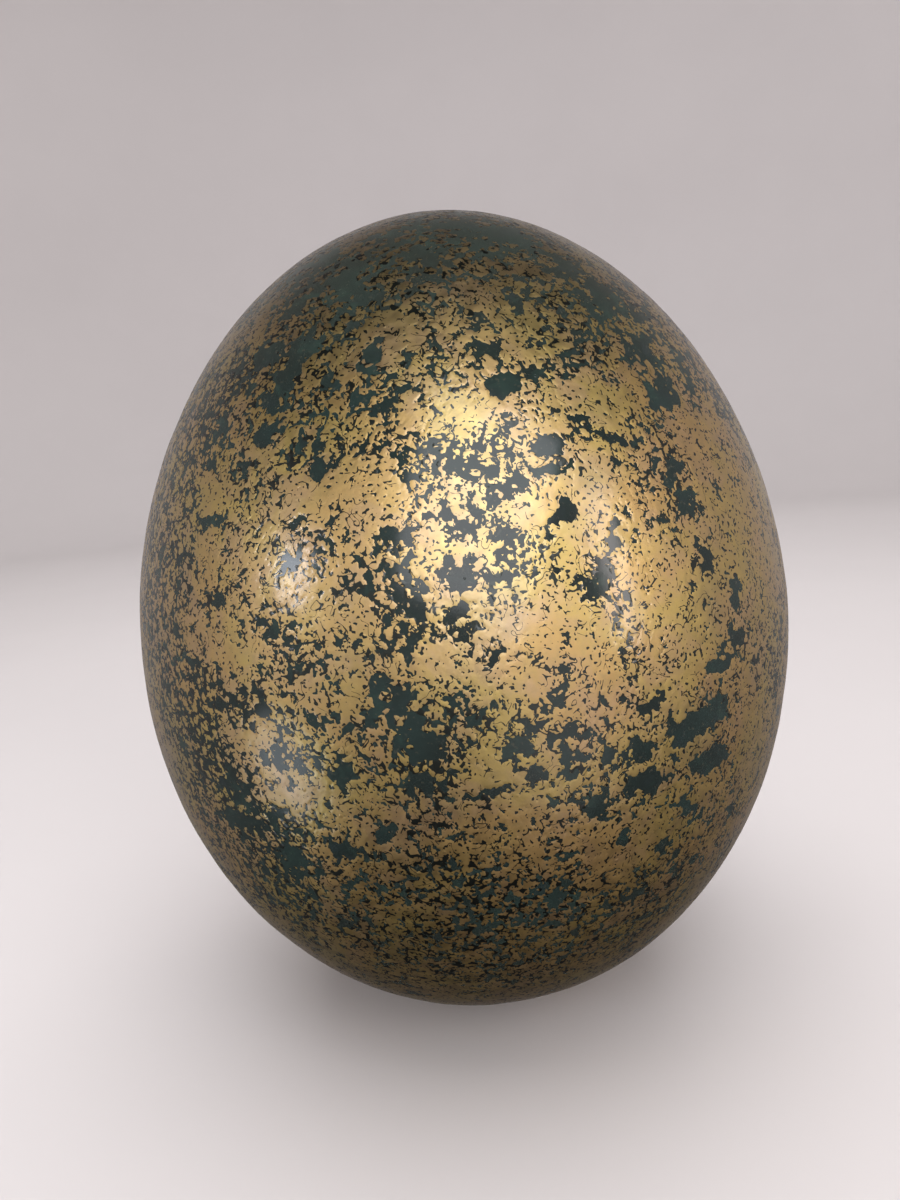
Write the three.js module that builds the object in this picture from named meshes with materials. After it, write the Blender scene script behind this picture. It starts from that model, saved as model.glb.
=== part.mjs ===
// A gilded and lacquered blown egg of ostrich size, standing on a small turned ring.
// Millimetres, +Z up. The origin is the centre of the ring's flat underside, on the egg's axis.
import * as THREE from "three";
import { mergeVertices } from "three/addons/utils/BufferGeometryUtils.js";

// ---- driving dimensions ------------------------------------------------
const EGG_HEIGHT = 152.0; // pole to pole, outside of the lacquer
const EGG_RADIUS = 61.7; // at the widest, outside of the lacquer
const EGG_ASYM = -0.039; // first-order term: how much fuller the lower half is
const EGG_BLUNT = -0.010; // second-order term: how pointed both ends are
const LACQUER_THICKNESS = 0.7; // ground coat, leaf and clear coat together
const SHELL_WALL = 2.0; // wall of the blown eggshell
const GAP = 0.3; // running gap between touching pieces
const HOLE_RADIUS = 5.0; // drilled blow hole at the lower pole
const PLUG_TOP_RADIUS = 4.1; // the bung tapers inwards
const PLUG_LENGTH = 9.0;
const PLUG_CHAMFER = 0.6;
const POLE_LIFT = 1.2; // lower pole above the surface it stands on
const RING_OUTER_RADIUS = 14.0;
const RING_INNER_RADIUS = 10.0;
const RING_HEIGHT = 2.4;
const RING_EDGE = 0.8; // rounding of the ring's upper outer edge
const RING_BREAK = 0.3; // small broken edges
const AROUND = 48; // facets around the axis
const ALONG = 24; // facets from pole to pole

// ---- the egg's outline ---------------------------------------------------
// angle 0 is the upper pole, PI the lower one; depth is measured inwards along the normal
function outline(angle) {
  const t = Math.cos(angle);
  const full = 1 + EGG_ASYM * t + EGG_BLUNT * t * t;
  return [EGG_RADIUS * Math.sin(angle) * full, POLE_LIFT + (EGG_HEIGHT / 2) * (1 + t)];
}

function outlineAt(angle, depth) {
  const e = 1e-4;
  const [r, z] = outline(angle);
  const [ra, za] = outline(angle - e);
  const [rb, zb] = outline(angle + e);
  const dr = rb - ra;
  const dz = zb - za;
  const l = Math.hypot(dr, dz);
  return [Math.max(0, r + (depth * dz) / l), z - (depth * dr) / l];
}

// the angle near the lower pole where the outline at that depth has a given radius
function angleAtRadius(radius, depth) {
  let lo = Math.PI * 0.6;
  let hi = Math.PI;
  for (let i = 0; i < 60; i++) {
    const mid = (lo + hi) / 2;
    if (outlineAt(mid, depth)[0] > radius) lo = mid;
    else hi = mid;
  }
  return (lo + hi) / 2;
}

// a solid of revolution about Z from a profile of [radius, height] pairs;
// the profile either starts and ends on the axis or closes on itself
function revolve(profile) {
  const points = profile.map(([r, z]) => new THREE.Vector2(r, z));
  let geometry = new THREE.LatheGeometry(points, AROUND);
  geometry.rotateX(Math.PI / 2);
  geometry.deleteAttribute("normal");
  geometry.deleteAttribute("uv");
  geometry = mergeVertices(geometry, 1e-4);
  const index = geometry.index.array;
  const kept = [];
  for (let i = 0; i < index.length; i += 3) {
    const [a, b, c] = [index[i], index[i + 1], index[i + 2]];
    if (a !== b && b !== c && c !== a) kept.push(a, b, c);
  }
  geometry.setIndex(kept);
  geometry.computeVertexNormals();
  return geometry;
}

// an eggshell-like wall between two depths, open at the lower pole
function wall(outerDepth, innerDepth, holeRadius, along) {
  const endOuter = angleAtRadius(holeRadius, outerDepth);
  const endInner = angleAtRadius(holeRadius, innerDepth);
  const profile = [];
  for (let i = 0; i <= along; i++) profile.push(outlineAt((endInner * i) / along, innerDepth));
  for (let i = along; i >= 0; i--) profile.push(outlineAt((endOuter * i) / along, outerDepth));
  profile[0][0] = 0;
  profile[profile.length - 1][0] = 0;
  profile[along][0] = holeRadius;
  profile[along + 1][0] = holeRadius;
  return revolve(profile);
}

function piece(name, geometry, color, roughness, metalness) {
  const mesh = new THREE.Mesh(
    geometry,
    new THREE.MeshStandardMaterial({ color, roughness, metalness })
  );
  mesh.name = name;
  return mesh;
}

const object = new THREE.Group();

// ---- the turned ring, the only thing that touches the table ---------------
{
  const profile = [];
  profile.push([RING_INNER_RADIUS, RING_BREAK]);
  profile.push([RING_INNER_RADIUS + RING_BREAK, 0]);
  profile.push([RING_OUTER_RADIUS - RING_BREAK, 0]);
  profile.push([RING_OUTER_RADIUS, RING_BREAK]);
  for (let i = 0; i <= 5; i++) {
    const a = (i / 5) * (Math.PI / 2);
    profile.push([
      RING_OUTER_RADIUS - RING_EDGE + RING_EDGE * Math.cos(a),
      RING_HEIGHT - RING_EDGE + RING_EDGE * Math.sin(a),
    ]);
  }
  // the seat follows the egg, one gap below it
  const seat = [];
  for (let i = 0; i <= 5; i++) {
    const radius = RING_INNER_RADIUS + i * 0.6;
    const [r, z] = outlineAt(angleAtRadius(radius, -GAP), -GAP);
    if (z < RING_HEIGHT - 0.02) seat.push([r, z]);
  }
  profile.push([seat[seat.length - 1][0] + 0.25, RING_HEIGHT]);
  for (let i = seat.length - 1; i >= 0; i--) profile.push(seat[i]);
  profile[profile.length - 1][0] = RING_INNER_RADIUS;
  profile.push([RING_INNER_RADIUS, RING_BREAK]);
  object.add(piece("ring_stand", revolve(profile), 0x2b241b, 0.45, 0.8));
}

// ---- the egg, which lifts off the ring ------------------------------------
const egg = new THREE.Group();
object.add(egg);

egg.add(
  piece(
    "eggshell",
    wall(
      LACQUER_THICKNESS + GAP,
      LACQUER_THICKNESS + GAP + SHELL_WALL,
      HOLE_RADIUS,
      ALONG
    ),
    0xe6dcc3,
    0.6,
    0
  )
);

egg.add(
  piece("lacquer_coat", wall(0, LACQUER_THICKNESS, HOLE_RADIUS, ALONG), 0xb08d4a, 0.25, 0.6)
);

{
  const low = POLE_LIFT + 0.15;
  const high = low + PLUG_LENGTH;
  const r0 = HOLE_RADIUS - GAP;
  egg.add(
    piece(
      "blow_hole_plug",
      revolve([
        [0, low],
        [r0 - PLUG_CHAMFER, low],
        [r0, low + PLUG_CHAMFER],
        [PLUG_TOP_RADIUS, high - PLUG_CHAMFER],
        [PLUG_TOP_RADIUS - PLUG_CHAMFER, high],
        [0, high],
      ]),
      0x9a7146,
      0.85,
      0
    )
  );
}

export default object;
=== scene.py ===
"""A large decorative egg: a blown shell under dark green lacquer, with broken gold leaf laid over it and
a clear coat on top, standing on a small turned metal ring. Metres throughout, +Z up, -Y is the front."""

import math
from concurrent.futures import ThreadPoolExecutor

import bpy
import numpy as np
from mathutils import Matrix, Vector


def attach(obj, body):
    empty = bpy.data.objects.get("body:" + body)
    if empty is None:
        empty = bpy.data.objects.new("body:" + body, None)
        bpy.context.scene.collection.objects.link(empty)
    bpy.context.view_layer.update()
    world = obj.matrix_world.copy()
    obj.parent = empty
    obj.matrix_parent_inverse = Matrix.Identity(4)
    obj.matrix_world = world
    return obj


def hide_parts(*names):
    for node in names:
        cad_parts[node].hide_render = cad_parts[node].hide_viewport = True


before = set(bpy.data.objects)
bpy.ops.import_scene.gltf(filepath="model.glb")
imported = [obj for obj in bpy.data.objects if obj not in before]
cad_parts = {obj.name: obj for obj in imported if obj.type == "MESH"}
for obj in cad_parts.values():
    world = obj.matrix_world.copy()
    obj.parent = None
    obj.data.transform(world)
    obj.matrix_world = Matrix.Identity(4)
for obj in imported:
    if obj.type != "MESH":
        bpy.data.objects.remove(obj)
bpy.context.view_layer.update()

# ---------------------------------------------------------------- sizes, in millimetres
EGG_H = 152.0            # pole to pole
EGG_R = 61.7             # largest radius before the shape factor
ASYM, BLUNT = -0.039, -0.010
POLE_Z = 1.2             # the lower pole above the floor, as the egg sits in its ring
HOLE_R = 5.0             # blow hole at the lower pole
LACQUER = 0.7            # lacquer and leaf together
LEAF_T = 0.035           # leaf standing proud of the lacquer
LEAF_CELL = 0.29   # grid of the leaf sheets
MM = 0.001

# Bare places in the leaf: azimuth from the front in degrees, height above the lower pole,
# half length, half width (mm), tilt of the long side from level in degrees, depth.
LEAF_GAPS = [
    (-23.2, 135.6, 4.2, 5.6, 56, 0.27), (-21.1, 128.2, 5, 2, 29, 0.27), (-28.5, 125.6, 3.2, 2.3, 75, 1), (-29.9, 121.9, 2.4, 2.5, 71, 0.9),
    (-13.2, 124.3, 1.5, 3.8, -20, 1), (-17.8, 132.6, 2.4, 3.2, -10, 0.25), (-38.8, 141.1, 4.3, 6.4, 42, 0.22), (-36.8, 125.9, 3.1, 2.4, -8, 0.8),
    (-31.4, 113.7, 2.4, 2.5, -4, 0.9), (-31.9, 119.1, 3.2, 1.4, -6, 0.8), (-20.2, 120.5, 2.6, 1.3, -33, 0.9), (-13.9, 118.1, 2.5, 1.1, 0, 1),
    (-19.3, 108.9, 3, 1.1, 16, 1), (-21.1, 111.6, 1.3, 1.2, -4, 0.8), (-40.5, 102, 2.5, 1.2, 0, 0.8), (8.7, 118.4, 2.4, 2.5, -40, 1),
    (7.2, 122.9, 2.4, 1.2, -53, 0.8), (14.3, 119.1, 2.3, 1.2, 26, 0.8), (3.2, 106.8, 3.6, 1.1, -17, 0.9), (7.4, 105.0, 2.4, 1.5, -5, 0.8),
    (5.5, 102.4, 1.0, 1.2, 0, 0.5), (12.6, 106, 3.2, 1.1, 5, 0.9), (7, 97.2, 2.2, 0.9, -13, 0.8), (13.6, 99.9, 3.5, 1.4, 27, 1),
    (11.6, 97.7, 1.1, 1.9, -6, 0.9), (13.8, 109.6, 3, 1.3, 5, 0.9), (17.1, 107, 1.7, 1.1, -48, 0.7), (26.1, 109.1, 2.3, 1.4, -4, 0.8),
    (20.4, 112.4, 1.9, 1.3, -4, 0.8), (22.6, 110.2, 1.5, 1.3, -4, 0.7), (38, 114.9, 4, 2, -2, 0.9), (34.7, 99.8, 2, 2.2, 1, 1),
    (20.6, 95.8, 1.2, 3.4, -16, 1), (18.5, 91.2, 1.2, 3.3, 6, 1), (16.4, 89.2, 2.1, 1.6, -7, 1), (12.4, 82.8, 1.1, 1.2, -7, 0.9),
    (-0.7, 93.2, 1.5, 2.4, -19, 1), (3.5, 92.2, 2.2, 0.9, 0, 0.8), (-2, 95.3, 1.1, 1.3, -4, 0.7), (-6, 89.2, 1.2, 2.4, 7, 1),
    (-1.6, 88.7, 1.9, 1.2, 16, 0.9), (-8.2, 86.2, 1.2, 1.2, -3, 0.9), (-5.8, 86, 1.3, 0.9, -3, 0.7), (-7.6, 74.2, 2.2, 1.4, -2, 1),
    (-6.8, 70.4, 2.7, 3.2, -24, 1), (-7.2, 64.6, 3.3, 1.8, -13, 1.1), (-10.9, 70.6, 1.7, 1.5, -1, 0.8), (-9.4, 75.4, 1.2, 1.0, -2, 0.7),
    (-17.1, 66, 2.1, 1.2, 2, 0.8), (-28, 67.2, 2.2, 2.2, 6, 0.2), (-21.8, 95.6, 2.5, 1.9, -1, 0.3), (7.5, 65.1, 1.6, 1.7, -8, 0.9),
    (11.3, 69.7, 4, 1.3, 2, 1), (6.8, 71.7, 1.4, 1.1, -7, 0.8), (16.1, 69.5, 1.9, 1.3, -10, 0.8), (32.5, 67.4, 7.1, 2.6, 12, 1),
    (35.6, 60.4, 4.5, 2.2, -10, 1), (36, 74.9, 4.1, 1.7, -3, 1), (42.3, 77.7, 3.6, 1.5, -12, 0.9), (23.8, 60.2, 2.5, 2.3, 16, 0.9),
    (22, 65.4, 2.6, 1.7, 6, 0.9), (21.7, 79.7, 2, 0.8, -9, 0.9), (16.6, 73.5, 1, 1.2, 10, 0.7), (-13.5, 56.9, 1.6, 1.9, 2, 0.8),
    (-19.2, 53.7, 3, 1.1, 10, 0.8), (10.4, 51.2, 3, 1.1, -6, 0.7), (2.1, 51.7, 1, 1.6, -7, 0.7), (-39, 61.7, 2.9, 1.6, 11, 0.8),
    (15.7, 58.3, 2, 2.5, 22, 0.8), (9.8, 59.8, 1.2, 1.3, -10, 0.7), (2.3, 63.1, 1.4, 1.2, -6, 0.8), (-42.5, 80.4, 2.3, 1.1, 29, 0.8),
    (-47.5, 84.9, 2, 1.6, 6, 0.8), (-27.1, 85.5, 1, 1.9, 18, 0.8), (20.4, 52.1, 1.6, 1.5, -16, 0.8), (23.1, 142.6, 8.5, 5.6, -9, 0.22),
    (7.8, 145.1, 5.8, 4.7, -7, 0.19), (-2, 137.9, 3.1, 2.4, -8, 0.16), (33.4, 137.3, 4.4, 4.6, -44, 0.19), (16.2, 130.5, 2.4, 2.2, -17, 0.19),
    (36.2, 130.5, 3.1, 3.9, -54, 0.16), (6.9, 127.7, 2.7, 1.3, -31, 0.6), (39.4, 123, 2.5, 3, -53, 0.6), (-16.2, 144.2, 3, 4.5, 6, 0.16),
    (-35.2, 134.3, 2.5, 3.5, 53, 0.19), (-34.7, 109, 1.7, 2.2, -3, 0.7), (36.3, 90.9, 1.6, 2.4, -8, 0.6), (34, 104.2, 2.1, 1.3, -5, 0.6),
    (42.1, 85.4, 2.3, 2.1, -10, 0.6), (20.5, 87.6, 1.4, 1.1, -8, 0.7), (24.5, 72.6, 2.3, 1.1, 11, 0.7), (29.1, 77.6, 1.9, 1, -11, 0.7),
    (10.9, 75.1, 1.4, 0.8, -8, 0.7), (5.4, 69.4, 1.9, 1.2, 14, 0.8), (12.5, 66.1, 1.9, 1.1, -29, 0.8), (17.5, 65.2, 2.1, 1.3, 9, 0.8),
    (8.8, 72.6, 1.1, 1.1, -7, 0.7), (-8.5, 90.4, 1, 1.6, -3, 0.6), (-13.2, 92, 1.3, 1.1, -2, 0.6), (-16.9, 85.3, 1.2, 1.1, -1, 0.5),
    (-22.9, 101.7, 1.5, 0.9, -2, 0.6), (-4.1, 100.7, 1.0, 0.7, -4, 0.4), (-0.7, 100.4, 1.2, 0.7, -25, 0.4), (-11.9, 78.4, 1.1, 1.1, -1, 0.6),
    (-20.5, 74.1, 1.6, 1, 2, 0.6), (-31.4, 77.8, 1.8, 1.1, 4, 0.6), (-37.8, 90.5, 1.8, 1.3, 3, 0.5), (-38.5, 55.7, 3.1, 2.2, -3, 0.6),
    (-28.2, 50.6, 2.3, 2, -12, 0.6), (-7.7, 52.4, 1.7, 1.5, -1, 0.6), (-1.3, 44.6, 2.1, 1.3, -6, 0.5), (10.8, 42.7, 2, 1.5, -14, 0.5),
    (27.3, 47.5, 2.3, 1.7, -20, 0.6), (32.2, 53, 2.5, 1.8, -19, 0.6), (25.2, 40.4, 2.8, 1.8, -22, 0.5),
]

# places where the leaf stayed whole, in the same form
LEAF_PLATES = [
    (9.0, 100.7, 4.5, 2.6, -4, 1.0), (15.4, 84.0, 5.9, 4.4, -4, 1.0), (-21.5, 122.7, 5.2, 3.7, -4, 1.0), (26.6, 89.3, 6.4, 5.7, -4, 1.0), (-10.4, 126.5, 4.5, 4.5, -4, 0.5),
    (3.3, 78.7, 7.0, 3.5, -4, 0.8), (8.9, 86.4, 5.0, 4.5, -4, 0.8), (19.8, 102.6, 4.4, 3.4, -4, 0.9), (-32.2, 112.7, 3.8, 6.1, -4, 0.5), (-15.3, 88.1, 5.4, 4.2, -4, 0.6),
    (25.4, 66.1, 8.2, 3.1, -4, 0.8), (-13.5, 57.4, 6.7, 3.2, -4, 0.7), (18.1, 51.7, 10.5, 3.8, -4, 0.9), (0.1, 66.5, 4.9, 3.1, -4, 0.9), (23.8, 115.5, 5.4, 4.9, -4, 0.5),
    (-21.4, 106.3, 5.4, 3.4, -4, 0.5), (-0.2, 115.3, 6.4, 3.6, -4, 0.8), (-33.8, 82.3, 5.9, 3.4, -4, 0.5), (-21.4, 77.5, 5.9, 2.8, -4, 0.5), (-11.9, 104.3, 6.4, 4.4, -4, 0.6),
    (13.4, 72.0, 4.7, 3.3, -4, 0.3), (-41.0, 105.4, 5.4, 5.1, -4, 0.4), (-3.7, 81.4, 3.1, 2.7, -4, 0.9), (43.8, 107.6, 7.6, 6.4, -4, 0.3), (-3.2, 97.6, 4.2, 3.4, -4, 0.8), (-1.5, 103.2, 3.6, 2.2, -4, 0.7), (3.2, 97.2, 3.0, 2.0, -4, 0.8), (-8.5, 81.0, 4.0, 2.6, -4, 0.9), (-27, 63.5, 6.5, 5.0, -4, 0.45),
    (-33.0, 70.0, 5.0, 4.0, -4, 0.35), (-15.5, 80.5, 4.0, 3.0, -4, 0.5), (-20.5, 63.0, 4.0, 3.0, -4, 0.35),
]

# ---------------------------------------------------------------- noise
def hash3(i, j, k, seed):
    """Pseudo random 32 bit numbers for the corners of a grid."""
    h = (i * np.uint32(374761393) + j * np.uint32(668265263) + k * np.uint32(2147483647)
         + np.uint32((seed * 974634777) & 0xFFFFFFFF))
    h = (h ^ (h >> np.uint32(13))) * np.uint32(1274126177)
    h = (h ^ (h >> np.uint32(16))) * np.uint32(2246822519)
    return h ^ (h >> np.uint32(15))


def spread_directions(n=256):
    """Unit vectors spread evenly over a ball."""
    k = np.arange(n) + 0.5
    z = 1 - 2 * k / n
    a = np.pi * (1 + 5 ** 0.5) * k
    r = np.sqrt(1 - z * z)
    return np.stack([r * np.cos(a), r * np.sin(a), z], 1).astype(np.float32)


SPREAD = spread_directions()


def noise(P, scale, seed):
    """Gradient noise of features about `scale` mm apart, with a spread of about 0.8."""
    q = P / scale + np.array([seed * 17.13, seed * 5.71, seed * 9.37])
    f = np.floor(q)
    i = f.astype(np.int64).astype(np.uint32)
    f = (q - f).astype(np.float32)
    u = f * f * f * (f * (f * 6 - 15) + 10)
    out = np.zeros(len(P), np.float32)
    for dx in (0, 1):
        for dy in (0, 1):
            for dz in (0, 1):
                h = hash3(i[:, 0] + np.uint32(dx), i[:, 1] + np.uint32(dy), i[:, 2] + np.uint32(dz), seed) & np.uint32(255)
                g = SPREAD[h]
                d = g[:, 0] * (f[:, 0] - dx) + g[:, 1] * (f[:, 1] - dy) + g[:, 2] * (f[:, 2] - dz)
                w = ((u[:, 0] if dx else 1 - u[:, 0]) * (u[:, 1] if dy else 1 - u[:, 1])
                     * (u[:, 2] if dz else 1 - u[:, 2]))
                out += w * d
    return out * np.float32(1.7 / 0.42)


def cells(P, scale, seed):
    """How near the closest of scattered points is, mixed with how far it is to the border between two of them:
    round grains that touch each other along thin lines."""
    q = P / scale + np.array([seed * 3.17, seed * 7.31, seed * 1.93])
    f = np.floor(q)
    i = f.astype(np.int64).astype(np.uint32)
    f = (q - f).astype(np.float32)
    best = np.full(len(P), 9.0, np.float32)
    second = best.copy()
    k = np.float32(1 / 1023.0)
    low = np.uint32(1023)
    for dx in (-1, 0, 1):
        for dy in (-1, 0, 1):
            for dz in (-1, 0, 1):
                h = hash3(i[:, 0] + np.uint32(dx & 0xFFFFFFFF), i[:, 1] + np.uint32(dy & 0xFFFFFFFF),
                          i[:, 2] + np.uint32(dz & 0xFFFFFFFF), seed)
                x = np.float32(dx) + (h & low).astype(np.float32) * k - f[:, 0]
                y = np.float32(dy) + ((h >> np.uint32(10)) & low).astype(np.float32) * k - f[:, 1]
                z = np.float32(dz) + ((h >> np.uint32(20)) & low).astype(np.float32) * k - f[:, 2]
                d = x * x + y * y + z * z
                np.minimum(second, np.maximum(best, d), out=second)
                np.minimum(best, d, out=best)
    best, second = np.sqrt(best), np.sqrt(second)
    return (0.55 - best) / 0.17 * 0.62 + np.clip((second - best - 0.17) / 0.13, -1.3, 1.1) * 0.62


def smooth(x, a, b):
    t = np.clip((x - a) / (b - a), 0, 1)
    return t * t * (3 - 2 * t)


def in_parts(fn, P):
    """fn over P in a few threads; every point is worked out on its own, so the result is always the same."""
    if len(P) < 20000:
        return fn(P)
    parts = np.array_split(np.arange(len(P)), max(4, len(P) // 60000))
    with ThreadPoolExecutor(4) as pool:
        done = list(pool.map(lambda k: fn(P[k]), parts))
    return np.concatenate(done)


# ---------------------------------------------------------------- the egg's outline
def egg_point(d):
    """Points of the plain egg, in mm above the lower pole, from unit directions."""
    t = d[:, 2]
    r = EGG_R * (1 + ASYM * t + BLUNT * t * t)
    return np.stack([r * d[:, 0], r * d[:, 1], EGG_H / 2 * (1 + t)], 1)


def egg_normal(d):
    t = d[:, 2]
    s2 = np.maximum(1 - t * t, 0)
    q = 1 + ASYM * t + BLUNT * t * t
    n = np.stack([EGG_H / 2 * d[:, 0], EGG_H / 2 * d[:, 1],
                  EGG_R * (t * q - s2 * (ASYM + 2 * BLUNT * t))], 1)
    return n / np.linalg.norm(n, axis=1)[:, None]


def rho(z):
    t = np.clip(np.asarray(z, float) / (EGG_H / 2) - 1, -1, 1)
    return EGG_R * np.sqrt(1 - t * t) * (1 + ASYM * t + BLUNT * t * t)


def spots(P, table):
    """Above zero inside the listed ovals of a table, in mm from the border times their depth."""
    best = np.full(len(P), -3.0, np.float32)
    for az, z, l1, l2, ang, depth in table:
        a = math.radians(az)
        r = float(rho(z))
        c = np.array([r * math.sin(a), -r * math.cos(a), z])
        east = np.array([math.cos(a), math.sin(a), 0])
        slope = float(rho(z + 0.5) - rho(z - 0.5))
        up = np.array([slope * math.sin(a), -slope * math.cos(a), 1.0])
        up /= np.linalg.norm(up)
        t = math.radians(ang)
        t1 = math.cos(t) * east + math.sin(t) * up
        t2 = -math.sin(t) * east + math.cos(t) * up
        v = P - c
        m = (v * v).sum(1) < (l1 * 2.2 + 3) ** 2
        if not m.any():
            continue
        w = v[m]
        q = np.hypot((w @ t1) / l1, (w @ t2) / l2)
        best[m] = np.maximum(best[m], (1.0 - q) * min(l1, l2) * depth)
    return best


def leaf_field(P):
    """Gold lies where the first value is above zero; the others are how solid and how broken up it is there.
    P in mm from the lower pole."""
    w1 = np.stack([noise(P, 5.0, 11), noise(P, 5.0, 12), noise(P, 5.0, 13)], 1) * 0.55
    w2 = np.stack([noise(P, 1.6, 14), noise(P, 1.6, 15), noise(P, 1.6, 16)], 1) * 0.22
    Q = P + w1 + w2
    x = P[:, 0] / EGG_R
    front = np.clip(-P[:, 1] / EGG_R, -1, 1)
    z = P[:, 2]
    frag = np.clip(FRAG_BASE + 0.30 * noise(P, 15, 7) - 0.42 * x * np.maximum(front, 0), 0.05, 1.2)
    body = LEAF_BASE + 0.38 * noise(P, 24, 1) + (0.42 * np.clip(x + 0.05, 0, 0.7) - 0.22 * np.clip(-x, 0, 0.8)) * np.maximum(front, 0)
    body += 0.50 * smooth(z, 40, 20) - 0.26 * smooth(z, 104, 138)
    behind = far_side(P)
    body += (0.24 + 0.24 * behind) * noise(Q, 5.2, 2) + 0.48 * noise(Q, 2.5, 3)
    b = spots(P + w1 * 0.6 + w2 * 1.5, LEAF_GAPS)
    b = np.maximum(b, far_gaps(P, Q, behind))
    b = b + 0.28 * noise(P, 1.9, 43) * (b > -1.5)
    body -= np.clip(b + 0.45, 0, 0.5) * 1.5 + np.clip(b - 0.05, 0, 1.6) * 1.9
    calm = 1 - 0.38 * smooth(b, 0.0, 0.9)
    whole = np.clip(spots(P + w1 * 1.2 + w2 * 1.5, LEAF_PLATES) + 0.3, 0, 1.2) * (b < 0.1)
    body += 0.75 * whole
    frag = np.clip(frag - 0.30 * whole, 0.05, 1.2)
    g1 = cells(P + w2 * 1.3, 1.75, 31)
    g2 = cells(P + w2 * 0.6, 0.92, 32)
    f = body + ((0.40 + 0.55 * frag) * g1 + (0.25 + 0.45 * frag) * g2 * FINE_SHARE) * calm
    gate = noise(P, 1.9, 22) + 0.55 * frag - 0.25
    width = 0.16 + 0.10 * frag
    f -= np.clip(1 - np.abs(noise(Q, 2.3, 21)) / width, 0, 1) * smooth(gate, 0.0, 0.8) * 2.4
    f -= np.clip(noise(P, 0.55, 8) - 1.25 - 0.25 * noise(P, 6.5, 9), 0, 1) * 3.5 * FINE_SHARE
    return np.stack([f, body, frag], 1).astype(np.float32)


def far_side(P):
    """1 on the sides and the bottom, where no gap of the table was placed."""
    behind = smooth(P[:, 1] / np.maximum(rho(P[:, 2]), 1.0), -0.62, -0.30)
    return np.maximum(behind, smooth(P[:, 2], 30, 14))


def far_gaps(P, Q, behind):
    """The same kind of bare places, scattered by noise, on the far side."""
    n = noise(Q, 8.5, 41) + 0.35 * noise(P, 30, 42)
    return np.where(behind > 0, (n - 1.35) * 2.2 * behind - 3.0 * (1 - behind), -3.0)


def wave(P):
    """The hand-finished unevenness of the lacquered surface, in mm."""
    return (0.075 * noise(P, 17, 51) + 0.030 * noise(P, 7.5, 52)) * 0.62

LEAF_BASE, FRAG_BASE, FINE_SHARE = 1.16, 0.70, 0.85

# ---------------------------------------------------------------- meshes
FACES = (  # middle, first and second direction of each side of a cube blown up into the egg
    ((0, -1, 0), (1, 0, 0), (0, 0, 1)),
    ((1, 0, 0), (0, 1, 0), (0, 0, 1)),
    ((0, 1, 0), (-1, 0, 0), (0, 0, 1)),
    ((-1, 0, 0), (0, -1, 0), (0, 0, 1)),
    ((0, 0, 1), (1, 0, 0), (0, 1, 0)),
    ((0, 0, -1), (1, 0, 0), (0, -1, 0)),
)


def directions(face, u, v):
    """Unit directions over one side of the cube; u and v run from -1 to 1."""
    c, a, b = (np.array(x, float) for x in face)
    d = c + np.tan(u * math.pi / 4)[:, None] * a + np.tan(v * math.pi / 4)[:, None] * b
    return d / np.linalg.norm(d, axis=1)[:, None]


def new_object(name, verts_mm, faces, normals=None, uv=None, values=None, smooth_all=True):
    """A mesh object from mm arrays. faces is a list of index tuples or a (starts, totals, indices) triple."""
    me = bpy.data.meshes.new(name)
    co = (np.asarray(verts_mm, np.float64) * MM).astype(np.float32)
    if isinstance(faces, tuple):
        starts, totals, idx = faces
    else:
        totals = np.array([len(f) for f in faces], np.int32)
        idx = np.fromiter((i for f in faces for i in f), np.int32)
        starts = np.concatenate([[0], np.cumsum(totals)[:-1]]).astype(np.int32)
    me.vertices.add(len(co))
    me.vertices.foreach_set("co", co.ravel())
    me.loops.add(len(idx))
    me.loops.foreach_set("vertex_index", idx.astype(np.int32))
    me.polygons.add(len(starts))
    me.polygons.foreach_set("loop_start", starts.astype(np.int32))
    me.polygons.foreach_set("loop_total", totals.astype(np.int32))
    me.update(calc_edges=True)
    if smooth_all:
        me.polygons.foreach_set("use_smooth", np.ones(len(starts), bool))
    if uv is not None:
        layer = me.uv_layers.new(name="OFBake")
        layer.data.foreach_set("uv", uv.astype(np.float32).ravel())
    for key, val in (values or {}).items():
        at = me.attributes.new(key, "FLOAT", "POINT")
        at.data.foreach_set("value", val.astype(np.float32))
    if normals is not None:
        me.normals_split_custom_set_from_vertices(normals.astype(np.float32))
    me.validate(clean_customdata=False)
    o = bpy.data.objects.new(name, me)
    bpy.context.scene.collection.objects.link(o)
    return o


def corner_polygons(inside, f):
    """Marching squares. Returns polygons as (M, 6) arrays of local slots 0-7, -1 where unused, with their cells.
    Slots 0-3 are a cell's corners and 4-7 its edges, both going round from the first corner."""
    a = inside[:-1, :-1]; b = inside[1:, :-1]; c = inside[1:, 1:]; d = inside[:-1, 1:]
    code = a * 1 + b * 2 + c * 4 + d * 8
    mean = (f[:-1, :-1] + f[1:, :-1] + f[1:, 1:] + f[:-1, 1:]) / 4
    out = []
    for k in range(1, 16):
        on = [bool(k & 1), bool(k & 2), bool(k & 4), bool(k & 8)]
        walk = []
        for q in range(4):
            if on[q]:
                walk.append(q)
            if on[q] != on[(q + 1) % 4]:
                walk.append(4 + q)
        where = code == k
        if k in (5, 10):
            join = where & (mean > 0)
            apart = where & ~(mean > 0)
            out.append((np.argwhere(join), [walk]))
            q = 0 if k == 5 else 1
            out.append((np.argwhere(apart), [[q, 4 + q, 4 + (q + 3) % 4], [q + 2, 4 + q + 2, 4 + (q + 1) % 4]]))
        else:
            out.append((np.argwhere(where), [walk]))
    return out


def leaf_sheet_grid(face, su, sv, n):
    """The nodes of one sheet with one more ring all round, as directions."""
    k = (np.arange(-1, n + 2)) / n
    u = su + k
    v = sv + k
    U, V = np.meshgrid(u, v, indexing="ij")
    return directions(face, U.ravel(), V.ravel())


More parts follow.
